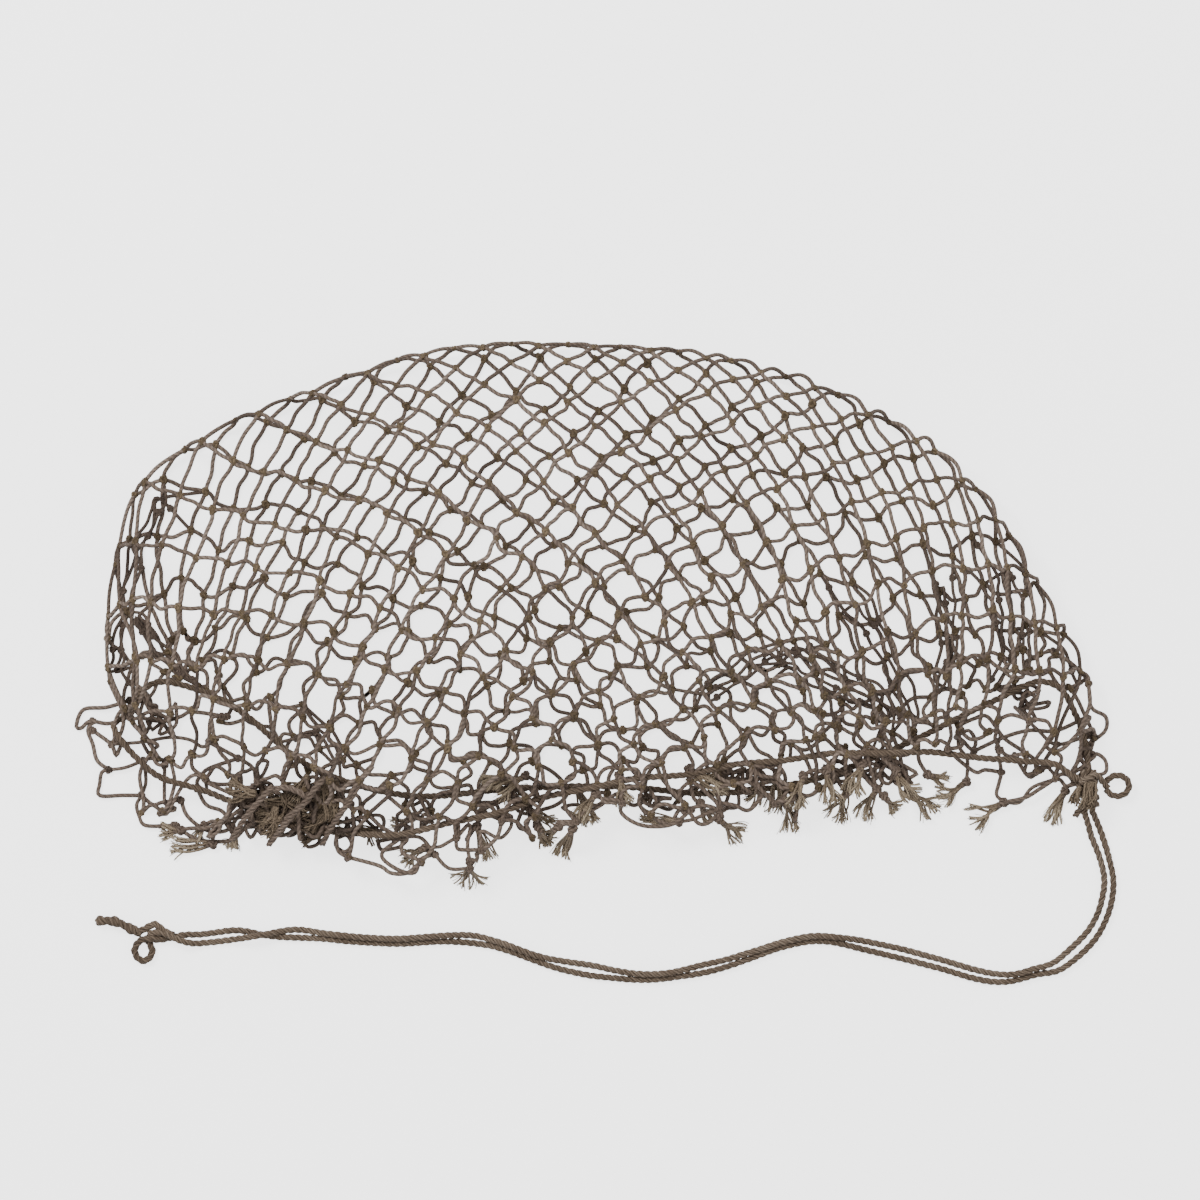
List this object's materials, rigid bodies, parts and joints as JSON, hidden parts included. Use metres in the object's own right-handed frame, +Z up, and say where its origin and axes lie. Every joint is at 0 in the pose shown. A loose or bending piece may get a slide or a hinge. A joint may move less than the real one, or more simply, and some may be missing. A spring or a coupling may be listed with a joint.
{
  "type": "helmet net",
  "caption": "Knotted twine helmet net bag lying on its side, with a rope drawcord round its open mouth, frayed tied hem ends and a long doubled tail.",
  "frame": {"origin": "on the surface it lies on, under the middle of the net's own outline, with the free tail left out", "axes": "+Z up from the surface, +Y from the mouth to the crown, +X along the mouth towards the bound knot"},
  "size_m": [0.4496, 0.2774, 0.0606],
  "materials": {
    "net_twine": "matte twisted cotton twine, faded olive brown",
    "cord_rope": "matte three-strand cotton rope, olive brown",
    "frayed_twine": "matte loose cotton fibres, paler olive tan"
  },
  "bodies": {
    "root": {"net": "net_twine", "drawcord": "cord_rope", "mouth_knot": "cord_rope", "hem_tangle": "net_twine", "tail_inner": "cord_rope", "tail_outer": "cord_rope", "tail_knot": "cord_rope", "frayed_end_1": "frayed_twine", "frayed_end_2": "frayed_twine", "frayed_end_3": "frayed_twine", "frayed_end_4": "frayed_twine", "frayed_end_5": "frayed_twine", "frayed_end_6": "frayed_twine", "frayed_end_7": "frayed_twine", "frayed_end_8": "frayed_twine", "frayed_end_9": "frayed_twine", "frayed_end_10": "frayed_twine", "frayed_end_11": "frayed_twine", "frayed_end_12": "frayed_twine"}
  },
  "joints": []
}
